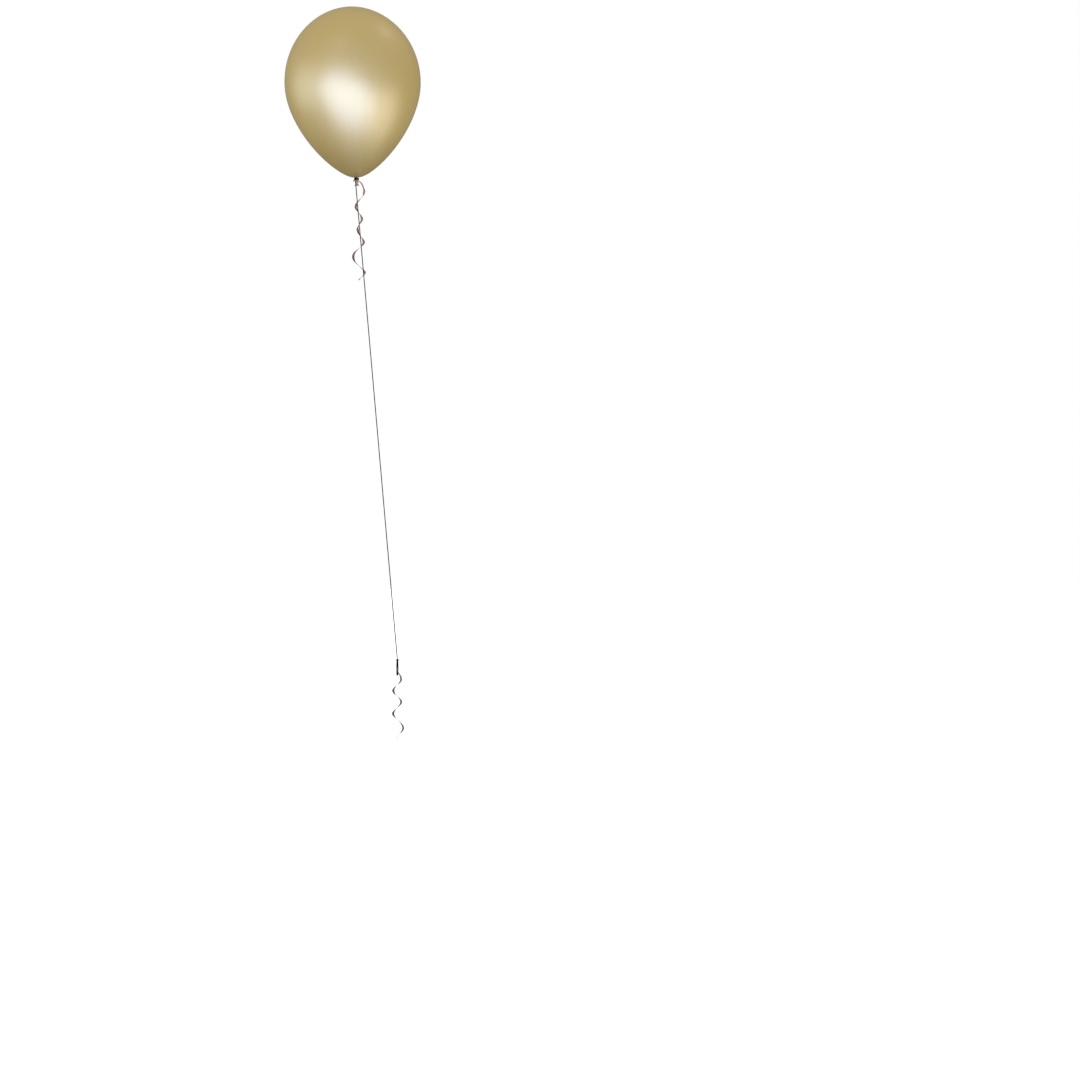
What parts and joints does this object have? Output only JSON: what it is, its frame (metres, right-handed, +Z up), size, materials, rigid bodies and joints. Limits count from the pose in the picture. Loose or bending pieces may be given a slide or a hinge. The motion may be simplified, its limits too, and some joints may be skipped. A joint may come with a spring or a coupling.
{
  "type": "latex balloon",
  "caption": "Inflated pear-shaped latex balloon with a knotted neck, tethered to a rail by a leaning string and trimmed with curled ribbon at neck and rail.",
  "frame": {"origin": "centre of the loop that is tied round the rail", "axes": "+Z up, from the rail to the balloon; +X along the rail, to the right as the balloon is seen from the front; +Y to the back"},
  "size_m": [0.2817, 0.2818, 1.5126],
  "materials": {
    "latex": "satin",
    "string": "matte",
    "ribbon": "gloss"
  },
  "bodies": {
    "anchor": {"rail_loop": "string"},
    "string_pivot": {"rail_hitch": "string", "rail_tag_end": "string"},
    "tether": {"tether_string": "string", "neck_ribbon": "ribbon"},
    "neck_pivot": {"neck_hitch": "string", "neck_tag_end": "string"},
    "balloon": {"balloon_body": "latex", "balloon_neck": "latex", "neck_knot": "latex", "neck_tail": "latex", "rolled_rim": "latex", "neck_string_wrap": "string", "neck_ribbon_wrap": "ribbon"},
    "ribbon_pivot": {"tail_ribbon_knot": "ribbon"},
    "ribbon_tail": {"tail_ribbon": "ribbon"}
  },
  "joints": [
    {"name": "string_lean_side", "type": "hinge", "parent": "anchor", "child": "string_pivot", "pos_m": [0, 0, 0.0178], "axis": [0, 1, 0], "range_deg": [-40, 50], "stiffness_Nm_per_rad": 0.19, "springref_deg": 1.83},
    {"name": "string_lean_fore_aft", "type": "hinge", "parent": "string_pivot", "child": "tether", "pos_m": [0, 0, 0.0178], "axis": [1, 0, 0], "range_deg": [-45, 45], "stiffness_Nm_per_rad": 0.19},
    {"name": "balloon_turn", "type": "hinge", "parent": "tether", "child": "neck_pivot", "pos_m": [-0.08716, 0, 1.01399], "axis": [0, 0, 1], "continuous": true},
    {"name": "balloon_rock", "type": "hinge", "parent": "neck_pivot", "child": "balloon", "pos_m": [-0.08716, 0, 1.01399], "axis": [0.2924, 0.9563, 0], "range_deg": [-40, 40], "stiffness_Nm_per_rad": 0.03, "springref_deg": 0.63},
    {"name": "ribbon_swing_side", "type": "hinge", "parent": "anchor", "child": "ribbon_pivot", "pos_m": [0, -0.017, 0], "axis": [0, 1, 0], "range_deg": [-60, 60]},
    {"name": "ribbon_swing_out", "type": "hinge", "parent": "ribbon_pivot", "child": "ribbon_tail", "pos_m": [0, -0.017, 0], "axis": [-1, 0, 0], "range_deg": [0, 60]}
  ]
}
